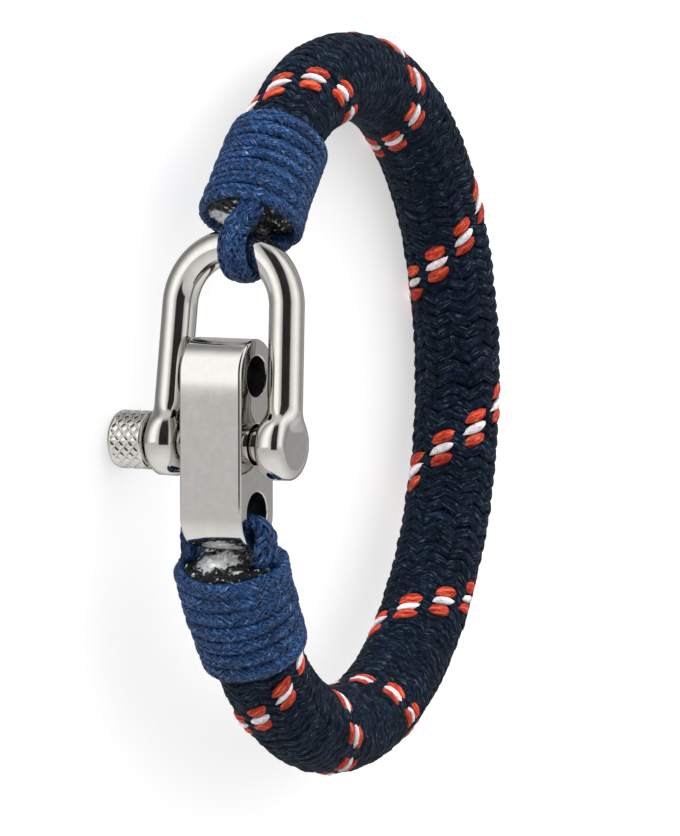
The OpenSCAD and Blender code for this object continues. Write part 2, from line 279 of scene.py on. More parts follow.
def rope_strand(hand, index, lift=0.0, oval=0.0):
    """One strand. Each float is laid flatter than the spiral that the strand follows.

    Lift keeps a strand on top for longer. A tracer's floats are ovals, and oval is half their width.
    """
    hidden = 8.0  # length left out at each end, where the whippings cover the strands
    s = np.arange(ROPE_START + hidden, ROPE_END - hidden, ROPE_STEP)
    spiral = np.radians(smooth_between(s - ROPE_START, SPIRAL_S, SPIRAL_TURN))
    column = np.radians(smooth_between(s - ROPE_START, COLUMN_S, COLUMN_TURN))
    start = 2 * math.pi * index / ROPE_STRANDS
    theta = spiral + start if hand < 0 else 2 * column - spiral + start
    theta = theta + wander(len(s), 10, 0.028)
    phase = ROPE_STRANDS / 2 * (theta - column)
    over = -hand * wave(phase, 1.1)
    theta = theta - hand * FLOAT_LEAN * np.sin(phase)
    neck = 0
    for (place, reach, depth), way in ((TOP_NECK, 1), (BOTTOM_NECK, -1)):
        neck = neck + depth * np.clip(way * (s - s_at(place)) / reach, 0, 1)
    radius = ROPE_MID + ROPE_RISE * over + lift + wander(len(s), 7, 0.05) - neck
    points, out = round_rope(s, theta, radius)
    ahead = unit(np.gradient(points, axis=0))
    across = unit(np.cross(ahead, out))
    up = unit(np.cross(across, ahead))
    if oval:
        half_w = oval * np.sqrt(np.clip((0.22 - hand * np.cos(phase)) / 1.22, 0.02, 1))
    else:
        half_w = STRAND_W * (0.72 + 0.28 * over)
    half_w = half_w * (1 + wander(len(s), 6, 0.08))
    half_t = STRAND_T * (0.88 + 0.12 * over)
    return tube_arrays(points, across, up, half_w, half_t, 7)


other_way = [(rope_strand(1, i), random.random()) for i in range(ROPE_STRANDS)]
same_way = [(rope_strand(-1, i), random.random()) for i in range(2, ROPE_STRANDS - 1)]
reds = [(rope_strand(-1, i, lift=0.18, oval=0.8), random.random()) for i in (1, -1)]
whites = [(rope_strand(-1, 0, lift=0.26, oval=0.56), random.random())]
rope_right = tubes("rope_strands_right", other_way)
rope_left = tubes("rope_strands_left", same_way)
rope_red = tubes("rope_tracer_red", reds)
rope_white = tubes("rope_tracer_white", whites)
core_s = np.arange(ROPE_START + 1.5, ROPE_END - 1.5, 1.0)
core_points, core_out = round_rope(core_s, np.zeros(len(core_s)), np.zeros(len(core_s)))
core_half = np.full(len(core_s), ROPE_CORE_R)
core_side = np.tile(SIDE, (len(core_s), 1))
core_tube = tube_arrays(core_points, core_side, core_out, core_half, core_half, 24)
rope_core = tubes("rope_core", [(core_tube, 0.5)])


# Flat or round braided cord along any path
def section_table(a, b, square):
    """Angle of a cord's section at each share of the way round: square below 1 makes it flatter."""
    t = np.linspace(0, 2 * math.pi, 1441)
    step = np.hypot(np.diff(a * power(np.sin(t), square)), np.diff(b * power(np.cos(t), square)))
    arc = np.concatenate([[0], np.cumsum(step)])
    return arc / arc[-1], t


def braided_cord(points, across, up, half_w, half_t, strands, lay, strand_w, strand_t, rise, square=1.0):
    """Strands of a cord: half_w and half_t are the cord's own half sizes, one value a point.

    Lay is the length in which a strand goes once round, and rise how far it goes out and in.
    """
    length = length_along(points)
    inner_w, inner_t = half_w - strand_t - rise, half_t - strand_t - rise
    arc, angle = section_table(float(np.median(inner_w)), float(np.median(inner_t)), square)
    parts = []
    for hand in (1, -1):
        for i in range(strands):
            f = i / strands + hand * length / lay
            f = f + wander(len(points), 12, 0.004)
            t = np.interp(f % 1, arc, angle)
            over = hand * wave(math.pi * strands * f, 1.6)
            normal = unit((inner_t * power(np.sin(t), 2 - square))[:, None] * across
                          + (inner_w * power(np.cos(t), 2 - square))[:, None] * up)
            centre = (points + (inner_w * power(np.sin(t), square))[:, None] * across
                      + (inner_t * power(np.cos(t), square))[:, None] * up + (rise * over)[:, None] * normal)
            ahead = unit(np.gradient(centre, axis=0))
            side = unit(np.cross(ahead, normal))
            top = unit(np.cross(side, ahead))
            w = strand_w * (1 + wander(len(points), 7, 0.08)) * (0.86 + 0.14 * over)
            h = np.full(len(points), strand_t)
            parts.append((tube_arrays(centre, side, top, w, h, 6), random.random()))
    return parts


def frames_along(points, hint, swap=False):
    """Across and up for each point: the hint sets the width, or with swap the outer face."""
    ahead = unit(np.gradient(points, axis=0))
    first = unit(hint - (hint * ahead).sum(1)[:, None] * ahead)
    if swap:
        return unit(np.cross(ahead, first)), first
    return first, unit(np.cross(first, ahead))


# Whippings: seven turns of braided cord, each turn level with a jog on the hidden side
WHIP_STEP, JOG_AT, JOG_HALF, LEVEL_SHARE = 0.27, -2.5, 0.22, 0.75


def whipping(name, mouth, way, sweep, mouth_r, far_r, thick, pull, pull_at):
    """Sweep is its length in degrees of the loop. Pull draws the rim back most at the angle pull_at."""
    outer, inner = s_at(mouth), s_at(mouth - way * sweep)
    pitch = abs(outer - inner) / WHIP_TURNS
    n = int(2 * math.pi * (mouth_r - thick / 2) * WHIP_TURNS / WHIP_STEP)
    turn = np.linspace(0, WHIP_TURNS, n)
    # Each turn lies almost level, and steps over to the next in a short jog
    near = np.floor(turn + 0.5)
    jog = np.clip((turn - near + JOG_HALF) / (2 * JOG_HALF), 0, 1)
    level = np.where(near > 0, near - 1 + jog * jog * (3 - 2 * jog), 0)
    spiral = np.clip(turn - 0.5, 0, WHIP_TURNS - 1)
    level = LEVEL_SHARE * np.minimum(level, WHIP_TURNS - 1) + (1 - LEVEL_SHARE) * spiral
    from_mouth = pitch * (0.5 + level)
    theta = JOG_AT + 2 * math.pi * turn
    drawn = pull * (0.5 + 0.5 * np.cos(theta - pull_at)) ** 2 * np.clip(1 - level / 4.5, 0, 1)
    s = outer + np.sign(inner - outer) * (from_mouth + drawn + wander(n, 32, 0.06))
    crest = mouth_r + (far_r - mouth_r) * from_mouth / abs(outer - inner)
    ends = np.clip(np.minimum(turn, WHIP_TURNS - turn) / 0.12, 0, 1)
    radius = crest - thick / 2 + wander(n, 22, 0.045) - 0.5 * (1 - ends)
    points, out = round_rope(s, theta, radius)
    across, up = frames_along(points, out, swap=True)
    ws = pitch * 0.57 * (1 + wander(n, 26, 0.05))
    ts = np.full(n, thick / 2)
    parts = braided_cord(points, across, up, ws, ts, strands=7, lay=5.6, strand_w=0.33, strand_t=0.17,
                         rise=0.08, square=0.64)
    core = tube_arrays(points[::4], across[::4], up[::4], ws[::4] - 0.3, ts[::4] - 0.26, 8, 0.64)
    return tubes(name, parts), tubes(name + "_core", [(core, 0.5)])


whip_top, whip_top_core = whipping(
    "whipping_top_cord", TOP_MOUTH, way=1, sweep=19.2, mouth_r=6.15, far_r=5.75, thick=1.2,
    pull=1.1, pull_at=0.5)
whip_bottom, whip_bottom_core = whipping(
    "whipping_bottom_cord", BOTTOM_MOUTH, way=-1, sweep=20.3, mouth_r=6.6, far_r=6.3, thick=1.45,
    pull=0.9, pull_at=1.0)


# Cord loops
def resample(points, step):
    """A smooth curve through the points, with even steps."""
    points = np.array(points, float)
    d = np.concatenate([[0], np.cumsum(np.linalg.norm(np.diff(points, axis=0), axis=1) ** 0.7)])
    fine = np.linspace(0, d[-1], 4000)
    curve = np.stack([smooth_between(fine, d, points[:, k]) for k in range(3)], -1)
    length = length_along(curve)
    even = np.linspace(0, length[-1], int(length[-1] / step) + 1)
    return np.stack([np.interp(even, length, curve[:, k]) for k in range(3)], -1)


def lean_point(lean, p):
    """A point of the clasp: p has x across it, y towards the bow and z along the pin. It mirrors."""
    a = math.radians(lean)
    p = np.asarray(p, float)
    return PIN_AT + np.stack([-p[..., 1] * math.cos(a) - p[..., 0] * math.sin(a),
                              p[..., 1] * math.sin(a) - p[..., 0] * math.cos(a), p[..., 2]], -1)


def mouth_frame(mouth, way):
    """The middle of a mouth and the direction out of it."""
    b = math.radians(mouth)
    middle = loop_point(np.array([b]))[0]
    ahead = loop_point(np.array([b + 0.001]))[0] - loop_point(np.array([b - 0.001]))[0]
    return middle, way * unit(ahead)


top_mid, top_out = mouth_frame(TOP_MOUTH, 1)
low_mid, low_out = mouth_frame(BOTTOM_MOUTH, -1)
CORD_T, CORD_W, CORD_GAP, STRAND_DEPTH = 2.0, 3.5, 0.15, 2.95
TOP_STRAND_ASIDE, TOP_STRAND_RISE, TOP_WRAP_RISE = 4.05, 1.9, 1.2


def cord_loop(name, points, side, widths, thicknesses):
    """The widths and thicknesses are spread evenly from one end to the other."""
    path = resample(points, 0.2)
    across, up = frames_along(path, np.tile(side, (len(path), 1)))
    along = np.linspace(0, 1, len(path))
    w = np.interp(along, np.linspace(0, 1, len(widths)), widths) / 2
    t = np.interp(along, np.linspace(0, 1, len(thicknesses)), thicknesses) / 2
    parts = braided_cord(path, across, up, w, t, strands=9, lay=9.0, strand_w=0.4, strand_t=0.22,
                         rise=0.1, square=0.75)
    core = tube_arrays(path[::3], across[::3], up[::3], w[::3] - 0.45, t[::3] - 0.45, 12)
    return tubes(name, parts), tubes(name + "_core", [(core, 0.5)])


wire_mid = lean_point(CLASP_LEAN, [0, BOW_H + BOW_R, TOP_WRAP_RISE])
top_across = np.array([-top_out[1], top_out[0], 0])
WRAP_R = WIRE_R + CORD_GAP + CORD_T / 2


def top_strand(side, depth):
    return top_mid - depth * top_out + side * TOP_STRAND_ASIDE * top_across + [0, 0, TOP_STRAND_RISE]


top_arc = [wire_mid + WRAP_R * (math.cos(math.radians(a)) * top_out + math.sin(math.radians(a)) * top_across)
           for a in range(100, -101, -20)]
loop_top, loop_top_core = cord_loop(
    "loop_top_cord",
    [top_strand(1, STRAND_DEPTH), top_strand(1, 1.5), top_strand(1, 0.2)] + top_arc
    + [top_strand(-1, 0.2), top_strand(-1, 1.5), top_strand(-1, STRAND_DEPTH)],
    SIDE, widths=[CORD_W], thicknesses=[CORD_T])

low_hole = lean_point(-CLASP_LEAN, [0, -HOLE_PITCH, 0])
bar_up = unit(lean_point(-CLASP_LEAN, [0, 1, 0]) - PIN_AT)
bar_end = low_hole - (BAR_LEN / 2 - HOLE_PITCH + 0.3) * bar_up
bend_corner = low_hole - (HOLE_R + 0.4) * bar_up


def low_side(side, shift, at_mouth, at_bar):
    """One strand of the bottom loop, from its mouth along the bar and round into the lowest hole.

    Shift moves it along y in the mouth. It lies at_mouth and at_bar off the middle, along z.
    """
    strand = [low_mid - d * low_out + [0, shift, side * (at_mouth - 0.18 * d)]
              for d in (STRAND_DEPTH, 1.5, 0.4)]
    bend_r = 1.7
    bend = [bend_corner + bend_r * math.sin(a) * bar_up
            + [0, 0, side * (at_bar - 1.6 + bend_r * math.cos(a))]
            for a in np.radians(np.arange(0, 91, 18))]
    return strand + [bar_end + [0, 0, side * at_bar]] + bend


loop_bottom, loop_bottom_core = cord_loop(
    "loop_bottom_cord",
    low_side(-1, shift=-0.3, at_mouth=5.0, at_bar=4.8)
    + low_side(1, shift=-0.1, at_mouth=4.6, at_bar=4.95)[::-1],
    unit(np.array([-0.2, -1.0, 0.0])), widths=[2.5, 2.6, 3.0, 3.6, 3.6],
    thicknesses=[1.4, 1.5, 1.9, 2.1, 2.1])


# Sealed ends: crinkled melted discs
SEAL_DEPTH, CREASES, CREASE_DEPTH = 2.2, 34, 0.11


def sealed_end(name, middle, out, radius, sunk, crown, core_at):
    """A domed face below the mouth by sunk, with creases, and a pale core whose middle is at core_at."""
    side_a = SIDE
    side_b = unit(np.cross(out, side_a))
    rings, spokes = 40, 128
    r = np.linspace(0, 1, rings + 1)[1:]
    a = 2 * math.pi * np.arange(spokes) / spokes
    rr, aa = np.meshgrid(r, a, indexing="ij")
    x, y = rr * np.cos(aa) * radius, rr * np.sin(aa) * radius
    lumps = 0 * x
    for _ in range(CREASES):
        direction = random.uniform(0, 2 * math.pi)
        scale = random.uniform(0.9, 4.5)
        fold = np.sin(scale * (x * math.cos(direction) + y * math.sin(direction)) + random.uniform(0, 6.28))
        lumps += CREASE_DEPTH / scale * (1 - 2 * np.abs(fold))
    height = crown * np.sqrt(np.clip(1 - rr ** 2, 0, 1)) - sunk + lumps * (1.0 - 0.4 * rr)
    top = (middle + x[..., None] * side_a + y[..., None] * side_b + height[..., None] * out).reshape(-1, 3)
    peak = middle + height[0].mean() * out
    floor_ring = middle + x[-1][:, None] * side_a + y[-1][:, None] * side_b - SEAL_DEPTH * out
    base = middle - SEAL_DEPTH * out
    verts = np.concatenate([top, floor_ring, [peak], [base]])
    n = rings * spokes
    faces = []
    for j in range(spokes):
        k = (j + 1) % spokes
        faces.append([n + spokes, j, k])
        for i in range(rings):
            faces.append([i * spokes + j, (i + 1) * spokes + j, (i + 1) * spokes + k, i * spokes + k])
        faces.append([n + spokes + 1, n + k, n + j])
    off_core = np.hypot(x - core_at[0], y - core_at[1]).ravel() / radius
    tone = np.concatenate([off_core, np.ones(spokes), [math.hypot(*core_at) / radius], [1]])
    return new_object(name, verts, faces, tone=tone)


seal_top = sealed_end("sealed_end_top_face", top_mid, top_out, radius=5.0, sunk=0.75, crown=0.6,
                      core_at=(-2.4, 0.6))
seal_bottom = sealed_end("sealed_end_bottom_face", low_mid, low_out, radius=5.35, sunk=0.1,
                         crown=0.65, core_at=(-0.9, -1.2))


# Steel shackle: one skin from ear to ear
EAR_FADE_IN, EAR_FADE_OUT, EAR_FULLNESS, EAR_POLE = 2.9, 2.6, 2.2, 0.24
LEG_END = BOW_H - 2.2


def leg_axis():
    """The point where a leg joins the bow, and the leg's direction towards its ear."""
    splay = math.radians(LEG_SPLAY)
    return (np.array([0, BOW_H + BOW_R * math.sin(splay), BOW_R * math.cos(splay)]),
            np.array([0, -math.cos(splay), math.sin(splay)]))


def smooth_max(a, b, k):
    """The larger of two distances, blended where they differ by less than k."""
    h = np.clip(k - np.abs(a - b), 0, None) / k
    return np.maximum(a, b) + h * h * k / 4


def smooth_min(a, b, k):
    return -smooth_max(-a, -b, k)


def leg_distance(p):
    """Distance to one side's leg and ear, with the ear on the z axis and y up."""
    top, down = leg_axis()
    q = p - top
    t = (q * down).sum(-1)
    leg = np.linalg.norm(q - t[..., None] * down, axis=-1) - WIRE_R
    leg = smooth_max(leg, t - LEG_END, 1.6)
    off = p[..., 2] - EAR_MID
    share = np.clip(np.where(off < 0, -off / EAR_FADE_IN, off / EAR_FADE_OUT), 0, 0.98)
    ear = np.hypot(p[..., 0], p[..., 1]) - EAR_R * (1 - share ** EAR_FULLNESS) ** (1 / EAR_FULLNESS)
    ear = smooth_max(ear, EAR_IN - p[..., 2], 0.4)
    ear = smooth_max(ear, p[..., 2] - EAR_OUT, 0.6)
    return smooth_min(leg, ear, 1.0)


def shackle():
    """Rings from one ear up its leg, round the bow and down to the other ear."""
    sides = 72
    top, down = leg_axis()
    plain, centre, pole = 9.0, 15.5, BOW_H + EAR_POLE + EAR_R
    closing = np.cos(np.linspace(0, math.pi / 2, 34))[:-1]
    stations = np.concatenate([np.linspace(0, plain, 26)[:-1], np.linspace(plain, centre, 46)[:-1],
                               pole - (pole - centre) * closing])
    turn = 2 * math.pi * np.arange(sides) / sides
    rays = (np.cos(turn)[:, None] * np.array([1.0, 0, 0])
            + np.sin(turn)[:, None] * np.array([0, down[2], -down[1]]))
    # Near the ear the centres leave the leg's line for the ear's middle
    centres = top + stations[:, None] * down
    centres[:, 2] = np.interp(stations, [0, 12, 15, pole],
                              [centres[0, 2], (top + 12 * down)[2], 7.22, 7.15])
    # The skin lies where the distance is nothing, found by halving on rays out from each centre
    low = np.zeros((len(stations), sides))
    high = np.full((len(stations), sides), 6.0)
    for _ in range(40):
        mid = (low + high) / 2
        inside = leg_distance(centres[:, None] + mid[..., None] * rays) < 0
        low, high = np.where(inside, mid, low), np.where(inside, high, mid)
    leg = centres[:, None] + low[..., None] * rays
    angles = np.radians(np.linspace(90 - LEG_SPLAY, -90 + LEG_SPLAY, 90))
    bow = []
    for a in angles[1:-1]:
        out = np.array([0, math.cos(a), math.sin(a)])
        round_wire = np.cos(turn)[:, None] * np.array([1.0, 0, 0]) + np.sin(turn)[:, None] * out
        bow.append(np.array([0, BOW_H, 0]) + BOW_R * out + WIRE_R * round_wire)
    flipped = leg * np.array([1, 1, -1])
    rings = np.concatenate([leg[::-1], np.array(bow), flipped])
    first = leg[-1].mean(0)
    last = flipped[-1].mean(0)
    verts = np.concatenate([rings.reshape(-1, 3), [first], [last]])
    return new_object("shackle_steel", lean_point(CLASP_LEAN, verts), ring_faces(len(rings), sides))


shackle_steel = shackle()


# Adjuster bar: rounded edges and three real holes
BAR_Y = BAR_LEN / 2 - BAR_D / 2
WALL_Y = BAR_Y - np.array([0.25, 0.5, 0.8, 1.2, 1.7, 2.4, 3.4, 5.0])
WALL_Y = np.concatenate([WALL_Y, [0.0], -WALL_Y[::-1]])


def stadium(inset, n=40):
    """Points of the bar's outline, drawn in by inset."""
    r = BAR_D / 2 - inset
    up = [[r * math.cos(a), BAR_Y + r * math.sin(a)] for a in np.linspace(0, math.pi, n)]
    down = [[r * math.cos(a), -BAR_Y + r * math.sin(a)] for a in np.linspace(math.pi, 2 * math.pi, n)]
    return np.array(up + [[-r, y] for y in WALL_Y] + down + [[r, y] for y in WALL_Y[::-1]])


def stadium_normal(n=40):
    """Normals that lean a little near the ends of the flats, where polishing has softened them."""
    most, reach = 0.08, 1.1
    lean = most * (np.exp((WALL_Y - BAR_Y) / reach) - np.exp((-WALL_Y - BAR_Y) / reach))
    up, down = np.linspace(0, math.pi, n), np.linspace(math.pi, 2 * math.pi, n)
    a = np.concatenate([up[:1] + most, up[1:-1], up[-1:] - most, math.pi - lean,
                        down[:1] + most, down[1:-1], down[-1:] - most, lean[::-1]])
    return np.stack([np.cos(a), np.sin(a)], -1)


def adjuster_bar():
    """The bar's object, and for each face whether it lies inside a hole."""
    edge, rim, steps, half = 0.35, 0.2, 6, BAR_W / 2
    hole_r = HOLE_R - 0.17
    bends = [math.pi / 2 * i / steps for i in range(steps + 1)]
    verts, normals, faces, bore = [], [], [], []

    def rounded(r):
        """Profile of a wall whose two edges are rounded by r."""
        low = [(r * (1 - math.cos(a)), -half + r * (1 - math.sin(a)), -a) for a in bends[::-1]]
        return low + [(r * (1 - math.cos(a)), half - r * (1 - math.sin(a)), a) for a in bends]

    def wall(outline, normal, profile, facing):
        """Rings of one outline: profile gives (inset, z, tilt) from the -z face to the +z face.

        Facing is 1 for the bar's outside and -1 for a hole.
        """
        start = len(verts)
        count = len(outline(0))
        for inset, z, tilt in profile:
            for p, q in zip(outline(inset), normal):
                verts.append([p[0], p[1], z])
                flat = facing * math.cos(tilt)
                normals.append([flat * q[0], flat * q[1], math.sin(tilt)])
        for i in range(len(profile) - 1):
            for j in range(count):
                k = (j + 1) % count
                quad = [start + i * count + j, start + i * count + k,
                        start + (i + 1) * count + k, start + (i + 1) * count + j]
                bore.append(facing < 0 and profile[i][0] < 0.02 and profile[i + 1][0] < 0.02)
                faces.append(quad if facing > 0 else quad[::-1])
        return start, count, len(profile)

    loops = [wall(stadium, stadium_normal(), rounded(edge), 1)]
    ring = np.array([[math.cos(a), math.sin(a)] for a in np.linspace(0, 2 * math.pi, 65)[:-1]])
    for i in (-1, 0, 1):
        middle = np.array([0, i * HOLE_PITCH])
        loops.append(wall(lambda inset: ring * (hole_r + inset) + middle, ring, rounded(rim), -1))
    # The two flat faces, from the first and the last ring of each wall
    for row, sign in ((0, -1), (-1, 1)):
        outlines, index = [], []
        for start, count, rows in loops:
            first = start + (row % rows) * count
            index += list(range(first, first + count))
            outlines.append([Vector(verts[k]) for k in range(first, first + count)])
        for a, b, c in tessellate_polygon(outlines):
            tri = [index[a], index[b], index[c]]
            pa, pb, pc = (np.array(verts[t]) for t in tri)
            if np.cross(pb - pa, pc - pa)[2] * sign < 0:
                tri = tri[::-1]
            faces.append(tri)
    placed = lean_point(-CLASP_LEAN, np.array(verts))
    turned = lean_point(-CLASP_LEAN, np.array(normals)) - PIN_AT
    obj = new_object("adjuster_bar_steel", placed, [f[::-1] for f in faces], normals=turned)
    inside = np.zeros(len(faces), dtype=np.int32)
    inside[:len(bore)] = bore
    return obj, inside


bar_steel, bar_inside = adjuster_bar()


# Screw pin: shank and diamond-knurled head, turning about z
def lathe(profile, sides, relief=None):
    """Points and faces of a turned piece: profile gives (radius, z), and relief a depth to take off."""
    turn = 2 * math.pi * np.arange(sides) / sides
    rings = []
    for r, z in profile:
        radius = np.full(sides, r)
        if relief is not None:
            radius = radius - relief(turn, z)
        rings.append(np.stack([radius * np.cos(turn), radius * np.sin(turn), np.full(sides, z)], -1))
    verts = np.concatenate([np.concatenate(rings), [[0, 0, profile[0][1]], [0, 0, profile[-1][1]]]])
    return verts + PIN_AT, ring_faces(len(rings), sides)


def knurl(turn, z):
    """Depth of the crossing grooves at an angle and a height."""
    a = (turn * KNURLS / (2 * math.pi) + z / KNURL_STEP) % 1
    b = (turn * KNURLS / (2 * math.pi) - z / KNURL_STEP) % 1
    near = np.minimum(np.minimum(a, 1 - a), np.minimum(b, 1 - b))
    fade = np.clip((z + KNOB_OUT - 0.55) / 0.3, 0, 1) * np.clip((-KNOB_IN - 0.35 - z) / 0.15, 0, 1)
    return fade * KNURL_DEPTH * np.clip(1.25 * (1 - near / KNURL_GROOVE), 0, 1)


head_profile = ([(0.4, -KNOB_OUT), (1.5, -KNOB_OUT), (2.7, -KNOB_OUT), (2.95, -KNOB_OUT + 0.05),
                 (3.15, -KNOB_OUT + 0.2), (3.26, -KNOB_OUT + 0.38)]
                + [(KNOB_R, z) for z in np.arange(-KNOB_OUT + 0.56, -KNOB_IN - 0.25, KNURL_STEP / 22)]
                + [(KNOB_R - 0.05, -KNOB_IN - 0.2), (KNOB_R - 0.3, -KNOB_IN), (PIN_R, -KNOB_IN)])
verts, faces = lathe(head_profile, KNURLS * 24, knurl)
pin_head = new_object("screw_pin_head", verts, faces)
shank_profile = ([(1.5, SHANK_FROM), (PIN_R, SHANK_FROM), (PIN_R, SHANK_FROM + 0.1)]
                 + [(PIN_R, z) for z in np.linspace(SHANK_FROM + 0.6, SHANK_TO - 0.2, 24)]
                 + [(PIN_R, SHANK_TO - 0.1), (PIN_R - 0.1, SHANK_TO), (1.0, SHANK_TO)])
verts, faces = lathe(shank_profile, 96)
pin_shank = new_object("screw_pin_shank", verts, faces)


# Materials
def material(name):
    m = bpy.data.materials.new(name)
    m.use_nodes = True
    nodes, links = m.node_tree.nodes, m.node_tree.links
    shader = nodes["Principled BSDF"]
    return m, nodes, links, shader


def tone_of(nodes):
    """The tone that a mesh carries at each point."""
    n = nodes.new("ShaderNodeAttribute")
    n.attribute_name = "tone"
    return n.outputs["Fac"]


def noise(nodes, links, vector, scale, detail, roughness):
    n = nodes.new("ShaderNodeTexNoise")
    n.inputs["Scale"].default_value = scale
    n.inputs["Detail"].default_value = detail
    n.inputs["Roughness"].default_value = roughness
    links.new(vector, n.inputs["Vector"])
    return n.outputs["Fac"]


def bump(nodes, links, height, distance):
    n = nodes.new("ShaderNodeBump")
    n.inputs["Strength"].default_value = 1.0
    n.inputs["Distance"].default_value = distance
    links.new(height, n.inputs["Height"])
    return n.outputs["Normal"]


def sum_of(nodes, links, a, b):
    """Two colours added."""
    n = nodes.new("ShaderNodeVectorMath")
    links.new(a, n.inputs[0])
    links.new(b, n.inputs[1])
    return n.outputs["Vector"]


def math_node(nodes, links, operation, *values):
    """Each value is a number or another node's output."""
    n = nodes.new("ShaderNodeMath")
    n.operation = operation
    for socket, value in zip(n.inputs, values):
        if isinstance(value, (int, float)):
            socket.default_value = value
        else:
            links.new(value, socket)
    return n.outputs[0]


def ramp(nodes, links, value, stops):
    """Colour along a value: each stop is a place from 0 to 1 and a colour."""
    n = nodes.new("ShaderNodeValToRGB")
    while len(n.color_ramp.elements) < len(stops):
        n.color_ramp.elements.new(0.5)
    for element, (at, colour) in zip(n.color_ramp.elements, stops):
        element.position = at
        element.color = (*colour, 1)
    links.new(value, n.inputs["Fac"])
    return n.outputs["Color"]


def fibre(name, dark, mid, light, glint, rough, filaments, gloss, shadow, coat, speck):
    """Filament yarn: streaks along each strand, painted glints on a few filaments, and painted shade at the
    strand's sides.

    Filaments is about how many streaks go round a strand, shadow the brightness of the painted shade left at
    its sides, glint the colour of the painted glints, and speck the brightness of the brightest small dots,
    which are painted glints too.
    """
    m, nodes, links, shader = material(name)
    lay = nodes.new("ShaderNodeUVMap")
    lay.uv_map = "lay"
    place = nodes.new("ShaderNodeTexCoord").outputs["Object"]
    tone = tone_of(nodes)

    # Streaks, and painted glints on a few filaments, which start at another place on each strand
    offset = nodes.new("ShaderNodeCombineXYZ")
    links.new(math_node(nodes, links, "MULTIPLY", tone, 37.0), offset.inputs["Z"])
    links.new(math_node(nodes, links, "MULTIPLY", tone, 11.0), offset.inputs["Y"])
    drawn_out = nodes.new("ShaderNodeMapping")
    drawn_out.inputs["Scale"].default_value = (filaments, 0.7, 1)
    links.new(lay.outputs["UV"], drawn_out.inputs["Vector"])
    links.new(offset.outputs["Vector"], drawn_out.inputs["Location"])
    streak = noise(nodes, links, drawn_out.outputs["Vector"], 1.0, 3.0, 0.6)
    pale = noise(nodes, links, drawn_out.outputs["Vector"], 1.6, 2.0, 0.5)
    colour = ramp(nodes, links, streak, [(0.34, dark), (0.5, mid), (0.66, light)])
    # The pale filaments are painted highlights added to the base colour
    glints = ramp(nodes, links, pale, [(0.59, (0.0, 0.0, 0.0)), (0.7, glint)])

    # Brightness: the strand's own tone, painted shade at its sides, worn patches, and bright dots that are
    # painted glints
    apart = nodes.new("ShaderNodeSeparateXYZ")
    links.new(lay.outputs["UV"], apart.inputs["Vector"])
    # Darker towards the strand's sides: painted shade in the grooves between strands
    off_ridge = math_node(nodes, links, "SUBTRACT", apart.outputs["X"], 0.25)
    off_ridge = math_node(nodes, links, "ABSOLUTE", off_ridge)
    sides = ramp(nodes, links, off_ridge, [(0.12, (1, 1, 1)), (0.22, (shadow,) * 3)])
    patch = noise(nodes, links, place, 260.0, 3.0, 0.6)
    worn = ramp(nodes, links, patch, [(0.36, (0.68,) * 3), (0.62, (1.0,) * 3)])
    # Fine fuzz: its noise gives real bumps, and its brightest dots are painted glints
    fuzz_and_glint_noise = noise(nodes, links, place, 2600.0, 2.0, 0.7)
    glint_specks = ramp(nodes, links, fuzz_and_glint_noise,
                  [(0.4, (0.8 / speck,) * 3), (0.58, (1.0 / speck,) * 3), (0.7, (1.0, 1.0, 1.0))])
    value = math_node(nodes, links, "MULTIPLY_ADD", tone, 0.3, 0.95)
    for share in (sides, worn, math_node(nodes, links, "MULTIPLY", glint_specks, speck)):
        value = math_node(nodes, links, "MULTIPLY", value, share)
    shaded = nodes.new("ShaderNodeHueSaturation")
    links.new(sum_of(nodes, links, colour, glints), shaded.inputs["Color"])
    links.new(value, shaded.inputs["Value"])
    links.new(shaded.outputs["Color"], shader.inputs["Base Color"])

    rough_at = math_node(nodes, links, "MULTIPLY_ADD", streak, -0.4, rough + 0.2)
    links.new(rough_at, shader.inputs["Roughness"])
    relief = bump(nodes, links, math_node(nodes, links, "ADD", streak, fuzz_and_glint_noise), 0.00014)
    links.new(relief, shader.inputs["Normal"])
    links.new(relief, shader.inputs["Coat Normal"])
    shader.inputs["Specular IOR Level"].default_value = gloss
    shader.inputs["Coat Weight"].default_value = coat
    shader.inputs["Coat Roughness"].default_value = 0.12
    return m


# Each glint colour below is a painted highlight, and each shadow the painted shade at the strands' sides
navy = fibre("navy_rope", dark=(0.0008, 0.003, 0.008), mid=(0.003, 0.0085, 0.0195),
             light=(0.0105, 0.022, 0.044), glint=(0.062, 0.078, 0.1), rough=0.5, filaments=16,
             gloss=0.06, shadow=0.5, coat=0.0, speck=1.8)
red = fibre("red_tracer", dark=(0.26, 0.008, 0.004), mid=(0.62, 0.042, 0.014),
            light=(0.9, 0.16, 0.07), glint=(0.14, 0.12, 0.1), rough=0.55, filaments=14,
            gloss=0.2, shadow=0.1, coat=0.0, speck=1.35)
white = fibre("white_tracer", dark=(0.7, 0.65, 0.7), mid=(0.96, 0.89, 0.94),
              light=(1.0, 0.98, 1.0), glint=(0.0, 0.0, 0.0), rough=0.5, filaments=14,
              gloss=0.3, shadow=0.5, coat=0.0, speck=1.2)
blue = fibre("blue_cord", dark=(0.001, 0.007, 0.032), mid=(0.0068, 0.04, 0.14),
             light=(0.03, 0.112, 0.285), glint=(0.19, 0.235, 0.34), rough=0.42, filaments=12,
             gloss=0.05, shadow=0.2, coat=0.34, speck=1.8)
loop_blue = fibre("blue_loop_cord", dark=(0.001, 0.007, 0.032), mid=(0.0055, 0.033, 0.12),
                  light=(0.026, 0.1, 0.26), glint=(0.19, 0.235, 0.34), rough=0.4, filaments=14,
                  gloss=0.05, shadow=0.2, coat=0.3, speck=1.8)


